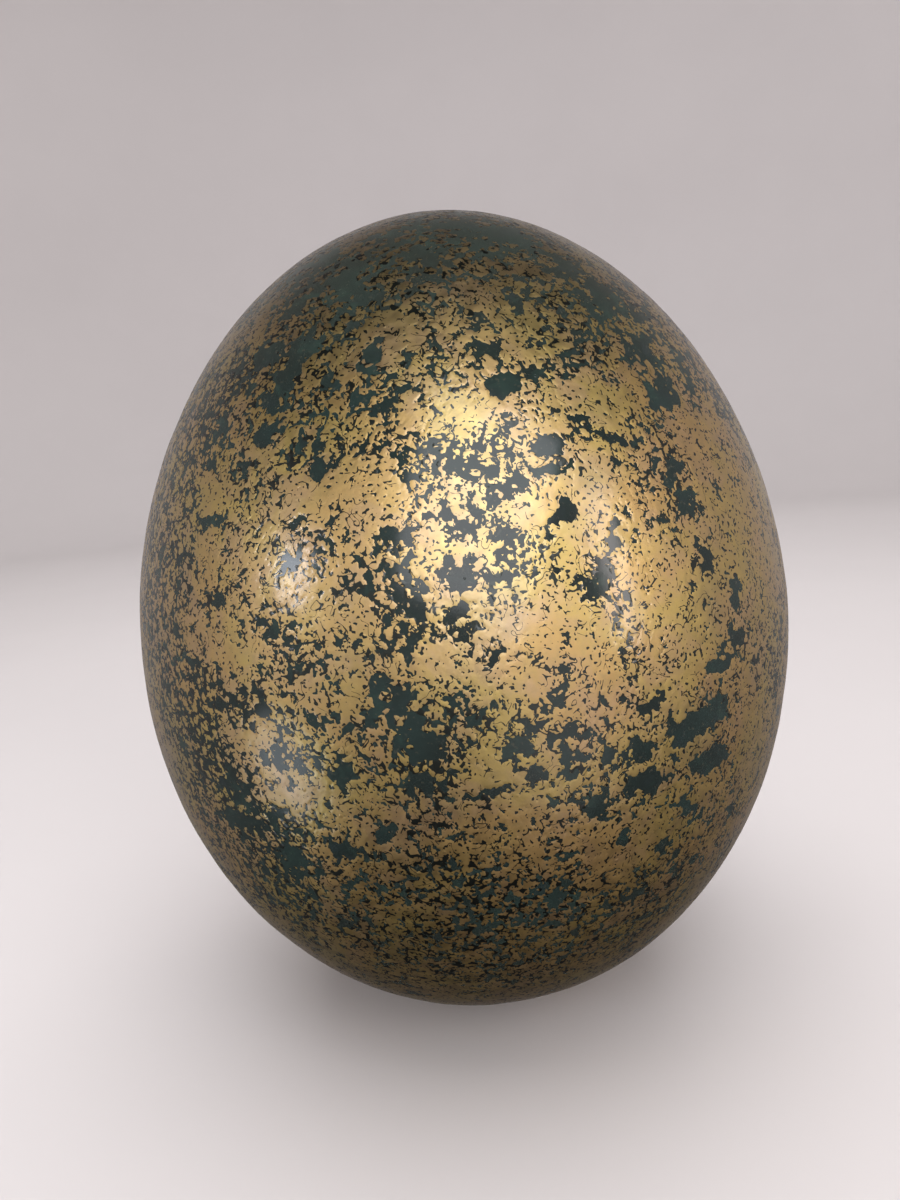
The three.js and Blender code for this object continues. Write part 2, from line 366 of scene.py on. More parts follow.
def leaf_height(P, f):
    """How far the leaf's upper side lies from the plain egg."""
    lift = np.where(f > 0, 1 - np.exp(-np.maximum(f, 0) / 0.55), 0.0)
    crumple = 0.005 * noise(P, 1.5, 61) + 0.008 * noise(P, 3.4, 62)
    return wave(P) + np.where(f > 0, -0.02 + (LEAF_T + 0.02) * lift + crumple * lift, -0.02)


def build_leaf():
    n = int(round(math.pi / 2 * 66.0 / 2 / LEAF_CELL))
    sheets = []
    for face in FACES:
        for su in (-1, 0):
            for sv in (-1, 0):
                sheets.append((face, su, sv))
    m = n + 3
    D = np.concatenate([leaf_sheet_grid(fc, su, sv, n) for fc, su, sv in sheets])
    P = egg_point(D)
    N0 = egg_normal(D)
    # nodes shared by two sheets must give exactly one value: positions are rounded before the noise is read
    Pr = np.round(P, 4)
    FBG = in_parts(leaf_field, Pr)
    F, BODY, FRAG = FBG[:, 0], FBG[:, 1], FBG[:, 2]
    # no leaf over the blow hole
    near = np.hypot(P[:, 0], P[:, 1])
    hole = (P[:, 2] < 20) & (near < HOLE_R + 2.2)
    F = np.where(hole, np.minimum(F, (near - HOLE_R - 1.0) * 0.9), F).astype(np.float32)
    F = np.where(np.abs(F) < 0.03, np.where(F > 0, 0.03, -0.03), F)
    H = leaf_height_all(Pr, F)
    W = in_parts(wave, Pr)
    T = P + N0 * H[:, None]
    shape = (len(sheets), m, m)
    T3 = T.reshape(shape + (3,))
    # normals of the upper side from the grid itself
    gu = T3[:, 2:, 1:-1] - T3[:, :-2, 1:-1]
    gv = T3[:, 1:-1, 2:] - T3[:, 1:-1, :-2]
    nn = np.cross(gu, gv)
    nn /= np.linalg.norm(nn, axis=-1)[..., None]
    base = N0.reshape(shape + (3,))[:, 1:-1, 1:-1]
    nn = np.where((nn * base).sum(-1)[..., None] < 0, -nn, nn)
    # one normal for nodes that several sheets share
    rim = np.zeros((len(sheets), n + 1, n + 1), bool)
    rim[:, 0] = rim[:, -1] = True
    rim[:, :, 0] = rim[:, :, -1] = True
    key = np.round(P.reshape(shape + (3,))[:, 1:-1, 1:-1][rim] * 200).astype(np.int64)
    uniq, inv = np.unique(key, axis=0, return_inverse=True)
    inv = inv.ravel()
    total = np.zeros((len(uniq), 3))
    np.add.at(total, inv, nn[rim])
    mean = total / np.linalg.norm(total, axis=1)[:, None]
    nn[rim] = mean[inv]
    made = []
    for s in range(len(sheets)):
        cut = (slice(1, -1), slice(1, -1))
        f = F.reshape(shape)[s][cut]
        p0 = P.reshape(shape + (3,))[s][cut]
        n0 = N0.reshape(shape + (3,))[s][cut]
        top = T3[s][cut]
        w = W.reshape(shape)[s][cut]
        more = [A.reshape(shape)[s][cut] for A in (BODY, FRAG)]
        made.append(leaf_mesh("gold_leaf_%02d" % (s + 1), f, p0, n0, top, nn[s], w, n, more))
    return made


def leaf_height_all(P, f):
    idx = np.arange(len(P))
    out = np.empty(len(P), np.float64)
    parts = np.array_split(idx, max(4, len(P) // 60000))
    with ThreadPoolExecutor(4) as pool:
        for k, v in zip(parts, pool.map(lambda q: leaf_height(P[q], f[q]), parts)):
            out[k] = v
    return out


def leaf_mesh(name, f, p0, n0, top, normal, w, n, more):
    """One sheet of broken leaf: closed thin flakes, thick in the middle and running out at their edges."""
    inside = f > 0
    N1 = n + 1
    nid = -np.ones((N1, N1), np.int64)
    nid[inside] = np.arange(inside.sum())
    count = int(inside.sum())
    V, NV, FV, UV = [top[inside]], [normal[inside]], [f[inside]], []
    MV = [[A[inside]] for A in more]
    ij = np.argwhere(inside)
    UV.append(ij / n)
    # where the outline crosses grid edges
    eu = -np.ones((n, N1), np.int64); ev = -np.ones((N1, n), np.int64)
    for axis in (0, 1):
        if axis == 0:
            fa, fb = f[:-1], f[1:]
        else:
            fa, fb = f[:, :-1], f[:, 1:]
        cross = (fa > 0) != (fb > 0)
        w_ = np.argwhere(cross)
        a = w_; b = w_ + (np.array([1, 0]) if axis == 0 else np.array([0, 1]))
        va = f[a[:, 0], a[:, 1]]; vb = f[b[:, 0], b[:, 1]]
        t = np.clip(va / (va - vb), 0.12, 0.88)[:, None]
        pa, pb = p0[a[:, 0], a[:, 1]], p0[b[:, 0], b[:, 1]]
        na, nb = n0[a[:, 0], a[:, 1]], n0[b[:, 0], b[:, 1]]
        wa, wb = w[a[:, 0], a[:, 1]][:, None], w[b[:, 0], b[:, 1]][:, None]
        ma, mb = normal[a[:, 0], a[:, 1]], normal[b[:, 0], b[:, 1]]
        ns = na * (1 - t) + nb * t
        ns /= np.linalg.norm(ns, axis=1)[:, None]
        pos = pa * (1 - t) + pb * t + ns * (wa * (1 - t) + wb * t - 0.02)
        nm = ma * (1 - t) + mb * t
        nm /= np.linalg.norm(nm, axis=1)[:, None]
        (eu if axis == 0 else ev)[w_[:, 0], w_[:, 1]] = count + np.arange(len(w_))
        count += len(w_)
        V.append(pos); NV.append(nm); FV.append(np.zeros(len(w_)))
        for A, store in zip(more, MV):
            store.append(A[a[:, 0], a[:, 1]] * (1 - t[:, 0]) + A[b[:, 0], b[:, 1]] * t[:, 0])
        UV.append((a * (1 - t) + b * t) / n)
    tops = count
    # the hidden underside of each flake, bedded in the lacquer
    under = p0[inside] + n0[inside] * (w[inside] - 0.07)[:, None]
    V.append(under); NV.append(-n0[inside]); FV.append(np.full(len(under), -1.0)); UV.append(ij / n)
    for A, store in zip(more, MV):
        store.append(A[inside])
    bid = -np.ones((N1, N1), np.int64)
    bid[inside] = tops + np.arange(inside.sum())
    slots = []
    for cellsij, walks in corner_polygons(inside, f):
        if not len(cellsij):
            continue
        i, j = cellsij[:, 0], cellsij[:, 1]
        tab = np.stack([nid[i, j], nid[i + 1, j], nid[i + 1, j + 1], nid[i, j + 1],
                        eu[i, j], ev[i + 1, j], eu[i, j + 1], ev[i, j]], 1)
        low = np.stack([bid[i, j], bid[i + 1, j], bid[i + 1, j + 1], bid[i, j + 1],
                        eu[i, j], ev[i + 1, j], eu[i, j + 1], ev[i, j]], 1)
        for wk in walks:
            slots.append((tab[:, wk], True))
            slots.append((low[:, wk[::-1]], False))
    # walls where a sheet ends
    wall3, wall4 = [], []
    for side in range(4):
        if side == 0:
            a_t, a_b, e = nid[:, 0], bid[:, 0], eu[:, 0]
        elif side == 1:
            a_t, a_b, e = nid[n, :], bid[n, :], ev[n, :]
        elif side == 2:
            a_t, a_b, e = nid[::-1, n], bid[::-1, n], eu[::-1, n]
        else:
            a_t, a_b, e = nid[0, ::-1], bid[0, ::-1], ev[0, ::-1]
        for k in range(n):
            p, q = a_t[k], a_t[k + 1]
            if p >= 0 and q >= 0:
                wall4.append((q, p, a_b[k], a_b[k + 1]))
            elif p >= 0:
                wall3.append((e[k], p, a_b[k]))
            elif q >= 0:
                wall3.append((q, e[k], a_b[k + 1]))
    starts, totals, idx, is_top = [], [], [], []
    at = 0
    def put(arr, t):
        nonlocal at
        if not len(arr):
            return
        k = arr.shape[1]
        starts.append(at + np.arange(len(arr)) * k)
        totals.append(np.full(len(arr), k))
        idx.append(arr.ravel())
        is_top.append(np.full(arr.size, t))
        at += arr.size
    for arr, t in slots:
        put(arr, t)
    if wall4:
        put(np.array(wall4), False)
    if wall3:
        put(np.array(wall3), False)
    starts, totals, idx, is_top = (np.concatenate(x) for x in (starts, totals, idx, is_top))
    uvv = np.concatenate(UV)
    uv = np.where(is_top[:, None], 0.012 + 0.976 * uvv[idx], 0.001 + 0.006 * uvv[idx])
    o = new_object(name, np.concatenate(V) + np.array([0, 0, POLE_Z]), (starts, totals, idx),
                   normals=np.concatenate(NV), uv=uv, values={"leaf_edge": np.concatenate(FV), "leaf_body": np.concatenate(MV[0]),
                           "leaf_frag": np.concatenate(MV[1])})
    return o


def build_ground():
    """The lacquered skin under the leaf: a closed wall with the blow hole at its lower pole."""
    nl, na = ((188, 250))
    t0 = -math.sqrt(1 - (HOLE_R / EGG_R) ** 2)
    th0 = math.acos(-t0)                       # angle from the lower pole where the hole is
    th = th0 + (math.pi - th0) * (np.arange(nl) / nl)
    rows = []
    for side in (0, 1):
        for k in range(nl):
            a = 2 * math.pi * np.arange(na) / na
            d = np.stack([math.sin(th[k]) * np.sin(a), -math.sin(th[k]) * np.cos(a), np.full(na, -math.cos(th[k]))], 1)
            p = egg_point(d)
            nrm = egg_normal(d)
            if side == 0:
                edge = smooth(np.array([(k / nl) * 150]), 0, 3)[0]
                rows.append(p + nrm * (in_parts(wave, np.round(p, 4)) * edge - 0.25 * (1 - edge) ** 2)[:, None])
            else:
                rows.append(p - nrm * (LACQUER - 0.02))
    V = np.concatenate(rows)
    outer_pole = egg_point(np.array([[0, 0, 1.0]]))
    outer_pole[0, 2] += float(wave(outer_pole)[0])
    inner_pole = egg_point(np.array([[0, 0, 1.0]])) - np.array([[0, 0, LACQUER - 0.02]])
    V = np.concatenate([V, outer_pole, inner_pole])
    R = np.arange(nl * na).reshape(nl, na)
    Rn = np.roll(R, -1, axis=1)
    quads = np.stack([R[:-1], Rn[:-1], Rn[1:], R[1:]], -1).reshape(-1, 4)
    inner = quads[:, ::-1] + nl * na
    lip = np.stack([Rn[0], R[0], R[0] + nl * na, Rn[0] + nl * na], -1)
    po, pi = 2 * nl * na, 2 * nl * na + 1
    cap = np.stack([R[-1], Rn[-1], np.full(na, po)], -1)
    cap2 = np.stack([Rn[-1] + nl * na, R[-1] + nl * na, np.full(na, pi)], -1)
    q = np.concatenate([quads, inner, lip])
    tri = np.concatenate([cap, cap2])
    idx = np.concatenate([q.ravel(), tri.ravel()])
    totals = np.concatenate([np.full(len(q), 4), np.full(len(tri), 3)])
    starts = np.concatenate([[0], np.cumsum(totals)[:-1]])
    # outer side unwrapped as two discs, one from each pole; the hidden inner side is squeezed into a corner
    outer_loop = np.concatenate([np.full(len(quads) * 4, 1), np.full((len(inner) + len(lip)) * 4, 0),
                                 np.full(len(cap) * 3, 1), np.full(len(cap2) * 3, 0)]).astype(bool)
    face_of = np.repeat(np.arange(len(totals)), totals)
    zc = np.zeros(len(totals)); np.add.at(zc, face_of, V[idx][:, 2]); zc /= totals
    upper = (zc > EGG_H / 2)[face_of]
    p = V[idx]
    tt = np.clip(p[:, 2] / (EGG_H / 2) - 1, -1, 1)
    ang = np.where(upper, np.arccos(tt), np.pi - np.arccos(tt)) / (math.pi / 2) * 0.93
    az = np.arctan2(p[:, 1], p[:, 0])
    rr = 0.245 * ang
    uv = np.stack([np.where(upper, 0.25, 0.75) + rr * np.cos(az) * 1.0, 0.5 + 2 * rr * np.sin(az) * 1.0], 1)
    uv = np.where(outer_loop[:, None], uv, 0.002 + 0.004 * np.stack([np.cos(az) + 1, tt + 1], 1) / 2)
    return new_object("lacquer_ground", V + np.array([0, 0, POLE_Z]), (starts, totals, idx), uv=uv)

# ---------------------------------------------------------------- materials
class Nodes:
    """Short names for building a material's node tree."""

    def __init__(self, name):
        self.mat = bpy.data.materials.new(name)
        self.mat.use_nodes = True
        self.t = self.mat.node_tree
        self.t.nodes.clear()
        self.out = self.t.nodes.new("ShaderNodeOutputMaterial")
        self.bsdf = self.t.nodes.new("ShaderNodeBsdfPrincipled")
        self.t.links.new(self.bsdf.outputs[0], self.out.inputs["Surface"])
        self.co = self.t.nodes.new("ShaderNodeTexCoord").outputs["Object"]

    def link(self, a, b):
        self.t.links.new(a, b)

    def set(self, **kw):
        for k, v in kw.items():
            self.bsdf.inputs[k.replace("_", " ")].default_value = v

    def noise(self, scale, detail=3.0, rough=0.5, warp=0.0, offset=0.0, vec=None):
        n = self.t.nodes.new("ShaderNodeTexNoise")
        n.inputs["Scale"].default_value = scale
        n.inputs["Detail"].default_value = detail
        n.inputs["Roughness"].default_value = rough
        n.inputs["Distortion"].default_value = warp
        v = vec or self.co
        if offset:
            m = self.t.nodes.new("ShaderNodeMapping")
            m.inputs["Location"].default_value = (offset, offset * 0.37, -offset * 0.61)
            self.link(v, m.inputs["Vector"])
            v = m.outputs[0]
        self.link(v, n.inputs["Vector"])
        return n.outputs["Fac"]

    def voronoi(self, scale, feature="F1", random=1.0):
        n = self.t.nodes.new("ShaderNodeTexVoronoi")
        n.feature = feature
        n.inputs["Scale"].default_value = scale
        n.inputs["Randomness"].default_value = random
        self.link(self.co, n.inputs["Vector"])
        return n.outputs["Distance"]

    def span(self, v, a, b, lo=0.0, hi=1.0, kind="SMOOTHSTEP"):
        n = self.t.nodes.new("ShaderNodeMapRange")
        n.interpolation_type = kind
        n.inputs["From Min"].default_value = a
        n.inputs["From Max"].default_value = b
        n.inputs["To Min"].default_value = lo
        n.inputs["To Max"].default_value = hi
        self.link(v, n.inputs["Value"])
        return n.outputs[0]

    def math(self, op, a, b):
        n = self.t.nodes.new("ShaderNodeMath")
        n.operation = op
        for k, x in enumerate((a, b)):
            if isinstance(x, (int, float)):
                n.inputs[k].default_value = x
            else:
                self.link(x, n.inputs[k])
        return n.outputs[0]

    def mix(self, fac, a, b, blend="MIX"):
        n = self.t.nodes.new("ShaderNodeMix")
        n.data_type = "RGBA"
        n.blend_type = blend
        for k, x in ((0, fac), (6, a), (7, b)):
            if isinstance(x, (int, float)):
                n.inputs[k].default_value = x
            elif isinstance(x, tuple):
                n.inputs[k].default_value = (*x, 1.0)
            else:
                self.link(x, n.inputs[k])
        return n.outputs[2]

    def bump(self, height, distance, strength=1.0, before=None):
        n = self.t.nodes.new("ShaderNodeBump")
        n.inputs["Strength"].default_value = strength
        n.inputs["Distance"].default_value = distance
        self.link(height, n.inputs["Height"])
        if before is not None:
            self.link(before, n.inputs["Normal"])
        return n.outputs[0]

    def height_z(self):
        s = self.t.nodes.new("ShaderNodeSeparateXYZ")
        self.link(self.co, s.inputs[0])
        return s.outputs["Z"]

    def attribute(self, name):
        a = self.t.nodes.new("ShaderNodeAttribute")
        a.attribute_name = name
        return a.outputs["Fac"]

    def colour(self, c):
        self.link(c, self.bsdf.inputs["Base Color"])


def gold_material():
    m = Nodes("broken gold leaf under clear coat")
    m.set(Metallic=1.0, Coat_Weight=1.0, Coat_Roughness=0.17, Coat_IOR=1.5)
    edge = m.attribute("leaf_edge")
    body = m.attribute("leaf_body")
    frag = m.attribute("leaf_frag")
    tone = m.noise(62, 3, 0.55, 0.3)
    c = m.mix(m.span(tone, 0.36, 0.64), GOLD_YELLOW, GOLD_WARM)
    patch = m.noise(150, 4, 0.6, 0.6, 3.1)
    c = m.mix(m.span(patch, 0.42, 0.68, 0.0, 0.62), c, GOLD_ROSE)
    fine = m.noise(900, 3, 0.65, 0.0, 5.7)
    c = m.mix(m.span(fine, 0.30, 0.56, 0.30, 0.0), c, GOLD_DULL)
    # painted shade: the leaf turns browner towards the bottom; it also turns duller and greyer towards the crown, and
    # is rubbed in random places
    z = m.height_z()
    bottom_shade_and_dull_crown = m.math("ADD", m.span(z, 0.050, 0.012, 0.0, 0.20), m.span(z, 0.114, 0.146, 0.0, 0.50))
    tone_shift = m.math("ADD", bottom_shade_and_dull_crown, m.span(m.noise(38, 4, 0.6, 0.0, 9.3), 0.52, 0.74, 0.0, 0.35))
    c = m.mix(tone_shift, c, GOLD_WORN_AND_SHADE)
    # darker rim near the torn edges: partly thin leaf letting the dark lacquer through, partly a painted shadow line
    # along the edge
    c = m.mix(m.span(edge, 0.0, 0.30, 0.60, 0.0, "LINEAR"), c, GOLD_EDGE_THIN_AND_SHADOW)
    # breaks finer than the sheets' own outlines: little star shaped gaps between the grains,
    # short curved cracks and pin holes, more of them where the leaf is poor
    g2 = m.math("MULTIPLY", m.math("SUBTRACT", 0.52, m.voronoi(1000)), 6.0)
    g1 = m.math("MULTIPLY", m.math("SUBTRACT", m.span(m.voronoi(640, "DISTANCE_TO_EDGE"), 0.0, 0.34, 0.0, 1.0), 0.55), 2.6)
    s = m.math("ADD", m.math("MULTIPLY", m.math("MAXIMUM", body, 0.85), 0.75), BREAK_BASE)
    s = m.math("ADD", s, m.math("MULTIPLY", g2, m.math("ADD", m.math("MULTIPLY", frag, 0.62), 0.14)))
    s = m.math("ADD", s, m.math("MULTIPLY", g1, m.math("ADD", m.math("MULTIPLY", frag, 0.52), 0.06)))
    line = m.math("ABSOLUTE", m.math("SUBTRACT", m.noise(460, 1.0, 0.5, 0.9, 12.4), 0.5), 0.0)
    line = m.span(line, 0.006, 0.030, 1.0, 0.0, "LINEAR")
    gate = m.math("ADD", m.noise(520, 1.0, 0.5, 0.0, 2.9), m.math("MULTIPLY", frag, 0.10))
    crack = m.math("MULTIPLY", line, m.span(gate, 0.52, 0.64))
    s = m.math("SUBTRACT", s, m.math("MULTIPLY", crack, 3.4))
    pin = m.math("MULTIPLY", m.span(m.noise(1900, 0.0, 0.5, 0.0, 7.7), 0.655, 0.72),
                 m.span(m.noise(170, 2, 0.5, 0.0, 1.7), 0.40, 0.60, 0.35, 1.0))
    s = m.math("SUBTRACT", s, m.math("MULTIPLY", pin, 5.0))
    gone = m.span(s, -0.16, 0.10, 1.0, 0.0)
    c = m.mix(gone, c, PIN_DARK)
    m.colour(c)
    r = m.span(m.noise(420, 3, 0.6, 0.0, 2.2), 0.3, 0.7, GOLD_ROUGH[0], GOLD_ROUGH[1])
    m.link(r, m.bsdf.inputs["Roughness"])
    n = m.bump(m.noise(720, 4, 0.62, 0.2, 4.4), 0.00003, 0.6)
    n = m.bump(m.noise(2300, 2, 0.5, 0.0, 8.4), 0.00002, 0.5, n)
    n = m.bump(gone, 0.00003, -0.7, n)
    pimple = m.span(m.voronoi(430), 0.05, 0.17, 1.0, 0.0)
    few = m.span(m.noise(130, 2, 0.5, 0.0, 6.6), 0.50, 0.60)
    n = m.bump(m.math("MULTIPLY", pimple, few), 0.00005, 0.8, n)
    m.link(n, m.bsdf.inputs["Normal"])
    # the clear coat levels the leaf out, so it keeps only the larger unevenness
    cn = m.bump(m.noise(330, 3, 0.5, 0.1, 4.4), 0.00003, 0.5)
    cn = m.bump(m.math("MULTIPLY", pimple, few), 0.00005, 0.8, cn)
    m.link(cn, m.bsdf.inputs["Coat Normal"])
    return m.mat


def ground_material():
    m = Nodes("dark green lacquer")
    m.set(Metallic=0.0, Specular_IOR_Level=0.0, Coat_Weight=1.0, Coat_Roughness=0.13, Coat_IOR=1.5)
    a = m.noise(70, 4, 0.55, 0.4, 2.0)
    c = m.mix(m.span(a, 0.36, 0.66), GREEN_DEEP, GREEN_TEAL)
    b = m.noise(310, 4, 0.6, 0.5, 7.0)
    c = m.mix(m.span(b, 0.52, 0.74, 0.0, 0.55), c, GREEN_BLUE)
    v = m.noise(260, 3, 0.55, 0.6, 11.0)
    c = m.mix(m.span(v, 0.54, 0.70, 0.0, 0.55), c, GREEN_PALE)
    d = m.noise(1500, 2, 0.6, 0.0, 3.3)
    c = m.mix(m.span(d, 0.60, 0.72, 0.0, 0.55), c, GREEN_DUST)
    z = m.height_z()
    # painted shade: the lacquer turns darker towards the bottom
    c = m.mix(m.span(z, 0.060, 0.012, 0.0, 0.55), c, GREEN_BOTTOM_SHADE)
    c = m.mix(m.span(z, 0.112, 0.142, 0.0, 0.24), c, GREEN_DUST)
    m.colour(c)
    r = m.span(m.noise(260, 3, 0.6, 0.0, 1.0), 0.3, 0.7, 0.34, 0.52)
    m.link(r, m.bsdf.inputs["Roughness"])
    n = m.bump(m.noise(330, 3, 0.5, 0.1, 4.4), 0.00003, 0.5)
    dust = m.span(m.voronoi(640), 0.04, 0.13, 1.0, 0.0)
    few = m.span(m.noise(170, 2, 0.5, 0.0, 8.8), 0.52, 0.60)
    n = m.bump(m.math("MULTIPLY", dust, few), 0.00006, 0.8, n)
    m.link(n, m.bsdf.inputs["Normal"])
    m.link(n, m.bsdf.inputs["Coat Normal"])
    return m.mat


def shell_material():
    m = Nodes("eggshell")
    m.set(Metallic=0.0)
    c = m.mix(m.span(m.noise(90, 4, 0.6), 0.35, 0.65), (0.60, 0.50, 0.36), (0.72, 0.64, 0.50))
    c = m.mix(m.span(m.voronoi(900), 0.05, 0.16, 0.55, 0.0), c, (0.30, 0.22, 0.14))
    m.colour(c)
    m.link(m.span(m.noise(400, 3), 0.3, 0.7, 0.55, 0.75), m.bsdf.inputs["Roughness"])
    m.link(m.bump(m.noise(1300, 4, 0.6), 0.00008, 0.5), m.bsdf.inputs["Normal"])
    return m.mat


def cork_material():
    m = Nodes("cork")
    m.set(Metallic=0.0)
    c = m.mix(m.span(m.noise(700, 5, 0.7, 0.8), 0.34, 0.66), (0.20, 0.115, 0.055), (0.42, 0.27, 0.145))
    pit = m.span(m.noise(1500, 3, 0.7, 1.2, 4.0), 0.60, 0.70)
    c = m.mix(m.math("MULTIPLY", pit, 0.85), c, (0.060, 0.032, 0.016))
    m.colour(c)
    m.link(m.span(m.noise(500, 3), 0.3, 0.7, 0.70, 0.92), m.bsdf.inputs["Roughness"])
    n = m.bump(m.noise(1500, 4, 0.7, 1.2, 4.0), 0.00025, 0.7)
    m.link(n, m.bsdf.inputs["Normal"])
    return m.mat


def ring_material():
    """Turned brass, darkened by handling, brighter where it rubs."""
    m = Nodes("darkened turned brass")
    m.set(Metallic=1.0)
    s = m.t.nodes.new("ShaderNodeSeparateXYZ")
    m.link(m.co, s.inputs[0])
    r = m.math("SQRT", m.math("ADD", m.math("MULTIPLY", s.outputs["X"], s.outputs["X"]),
                              m.math("MULTIPLY", s.outputs["Y"], s.outputs["Y"])), 0.0)
    wobble = m.math("MULTIPLY", m.noise(60, 2, 0.5), 0.0004)
    lines = m.t.nodes.new("ShaderNodeTexNoise")
    lines.inputs["Scale"].default_value = 4200
    lines.inputs["Detail"].default_value = 2.0
    v = m.t.nodes.new("ShaderNodeCombineXYZ")
    m.link(m.math("ADD", r, wobble), v.inputs["X"])
    m.link(s.outputs["Z"], v.inputs["Y"])
    m.link(v.outputs[0], lines.inputs["Vector"])
    c = m.mix(m.span(m.noise(130, 4, 0.6, 0.5), 0.35, 0.68), (0.17, 0.095, 0.040), (0.36, 0.225, 0.090))
    c = m.mix(m.span(m.noise(900, 3, 0.6, 0.0, 3.0), 0.56, 0.72, 0.0, 0.6), c, (0.060, 0.040, 0.022))
    tone_shift = m.math("MULTIPLY", m.span(s.outputs["Z"], 0.0014, 0.0024, 0.0, 0.75), m.span(m.noise(220, 3), 0.36, 0.6))
    c = m.mix(tone_shift, c, (0.62, 0.42, 0.19))
    m.colour(c)
    m.link(m.span(m.noise(500, 3, 0.6), 0.3, 0.7, 0.30, 0.52), m.bsdf.inputs["Roughness"])
    m.link(m.bump(lines.outputs["Fac"], 0.00004, 0.6), m.bsdf.inputs["Normal"])
    return m.mat


def floor_material():
    m = Nodes("pale floor")
    m.set(Roughness=0.85, Specular_IOR_Level=0.2)
    c = m.mix(m.span(m.noise(3.0, 4, 0.6), 0.3, 0.7), (FLOOR_TONE[0] * 0.97, FLOOR_TONE[1] * 0.97, FLOOR_TONE[2] * 0.97), FLOOR_TONE)
    m.colour(c)
    return m.mat


GOLD_YELLOW = (0.64, 0.474, 0.158)
GOLD_WARM = (0.66, 0.440, 0.172)
GOLD_ROSE = (0.62, 0.415, 0.240)
GOLD_DULL = (0.465, 0.350, 0.160)
# dark rim of the torn leaf: thin leaf over lacquer, and a painted edge shadow
GOLD_EDGE_THIN_AND_SHADOW = (0.19, 0.142, 0.070)
# dull brown for rubbed places, also used as painted shade towards the bottom
GOLD_WORN_AND_SHADE = (0.33, 0.285, 0.205)
PIN_DARK = (0.026, 0.032, 0.026)
GOLD_ROUGH = (0.42, 0.54)
BREAK_BASE = 0.12
GREEN_DEEP = (0.0095, 0.0150, 0.0135)
GREEN_TEAL = (0.0130, 0.0245, 0.0220)
GREEN_BLUE = (0.0160, 0.0235, 0.0260)
GREEN_PALE = (0.0185, 0.0370, 0.0300)
GREEN_DUST = (0.052, 0.052, 0.038)
# near-black green used as painted shade towards the bottom
GREEN_BOTTOM_SHADE = (0.020, 0.020, 0.014)

FLOOR_TONE = (0.60, 0.575, 0.575)
ROOM_TONE = (0.40, 0.365, 0.36)
ROOM_STOPS = ((-1.0, 0.06), (-0.75, 0.14), (-0.35, 0.56), (0.0, 0.93), (0.45, 0.78), (0.70, 0.30), (0.92, 0.08))
# soft paler places in the room: direction, cosine where they end and where they are full, strength, tint
ROOM_GLOWS = (((0.43, -0.82, -0.38), 0.89, 0.997, 0.62, (1.0, 0.92, 0.92)),
              ((-0.83, -0.35, -0.44), 0.970, 0.999, 2.3, (0.84, 0.92, 1.0)))

# ---------------------------------------------------------------- the object
EGG, RING = "egg", "ring"
gold = gold_material()
leaf = build_leaf()
for o in leaf:
    o.data.materials.append(gold)
    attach(o, EGG)
    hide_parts("lacquer_coat")
ground = build_ground()
ground.data.materials.append(ground_material())
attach(ground, EGG)
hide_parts("lacquer_coat")


def finish_node(name, material):
    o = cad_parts[name]
    o.data.materials.clear()
    o.data.materials.append(material)


finish_node("eggshell", shell_material())
finish_node("blow_hole_plug", cork_material())
finish_node("ring_stand", ring_material())

# ---------------------------------------------------------------- floor and backdrop
def build_cove(radius=1.6, bend=0.5, top=1.7, around=96):
    """A pale studio cove: a round floor that turns up into a wall all round."""
    prof = [(0.0, 0.0), (0.05, 0.0), (0.15, 0.0), (0.4, 0.0), (0.8, 0.0), (radius - bend, 0.0)]
    for k in range(1, 17):
        a = math.pi / 2 * k / 16
        prof.append((radius - bend + bend * math.sin(a), bend - bend * math.cos(a)))
    prof.append((radius, top))
    verts, faces = [(0.0, 0.0, 0.0)], []
    for r, z in prof[1:]:
        for k in range(around):
            a = 2 * math.pi * k / around
            verts.append((r * math.cos(a), r * math.sin(a), z))
    for k in range(around):
        faces.append((0, 1 + k, 1 + (k + 1) % around))
    for ring in range(len(prof) - 2):
        s = 1 + ring * around
        for k in range(around):
            q = (k + 1) % around
            faces.append((s + k, s + around + k, s + around + q, s + q))
    me = bpy.data.meshes.new("floor")
    me.from_pydata(verts, [], faces)
    me.polygons.foreach_set("use_smooth", [True] * len(faces))
    o = bpy.data.objects.new("floor", me)
    bpy.context.scene.collection.objects.link(o)
    return o


floor = build_cove()
floor.data.materials.append(floor_material())
floor.visible_glossy = False      # the egg mirrors the softly lit room of the world shader instead
floor.visible_shadow = False

# ---------------------------------------------------------------- light
def soft_light(name, azimuth, elevation, distance, size, size_y, watts, colour, centre=(0, 0, 0.085), roll=0.0):
    """A soft box seen from the egg at an azimuth (0 = front, to the right) and elevation, in degrees."""
    a, e = math.radians(azimuth), math.radians(elevation)
    d = Vector((math.sin(a) * math.cos(e), -math.cos(a) * math.cos(e), math.sin(e)))
    lamp = bpy.data.lights.new(name, "AREA")
    lamp.shape = "RECTANGLE"
    lamp.size, lamp.size_y = size, size_y
    lamp.energy = watts
    lamp.color = colour
    o = bpy.data.objects.new(name, lamp)
    bpy.context.scene.collection.objects.link(o)
    o.matrix_world = (Matrix.Translation(Vector(centre) + d * distance) @ d.to_track_quat("Z", "Y").to_matrix().to_4x4()
                      @ Matrix.Rotation(math.radians(roll), 4, "Z"))
    return o


soft_light("key", 8, 32, 0.80, 0.60, 0.76, 4.6, (0.95, 0.965, 1.0), roll=-26)
soft_light("side_left", -55, 14, 0.80, 0.15, 0.15, 0.62, (0.86, 0.90, 1.0))
soft_light("side_right", 50, 12, 0.80, 0.12, 0.45, 0.92, (1.0, 0.92, 0.90))

# light on the floor and the cove alone, so that the background is as pale as a studio's
wash = soft_light("wash", 0, 90, 1.30, 1.6, 1.6, 25.0, (1.0, 0.97, 0.965))
wash.visible_glossy = False

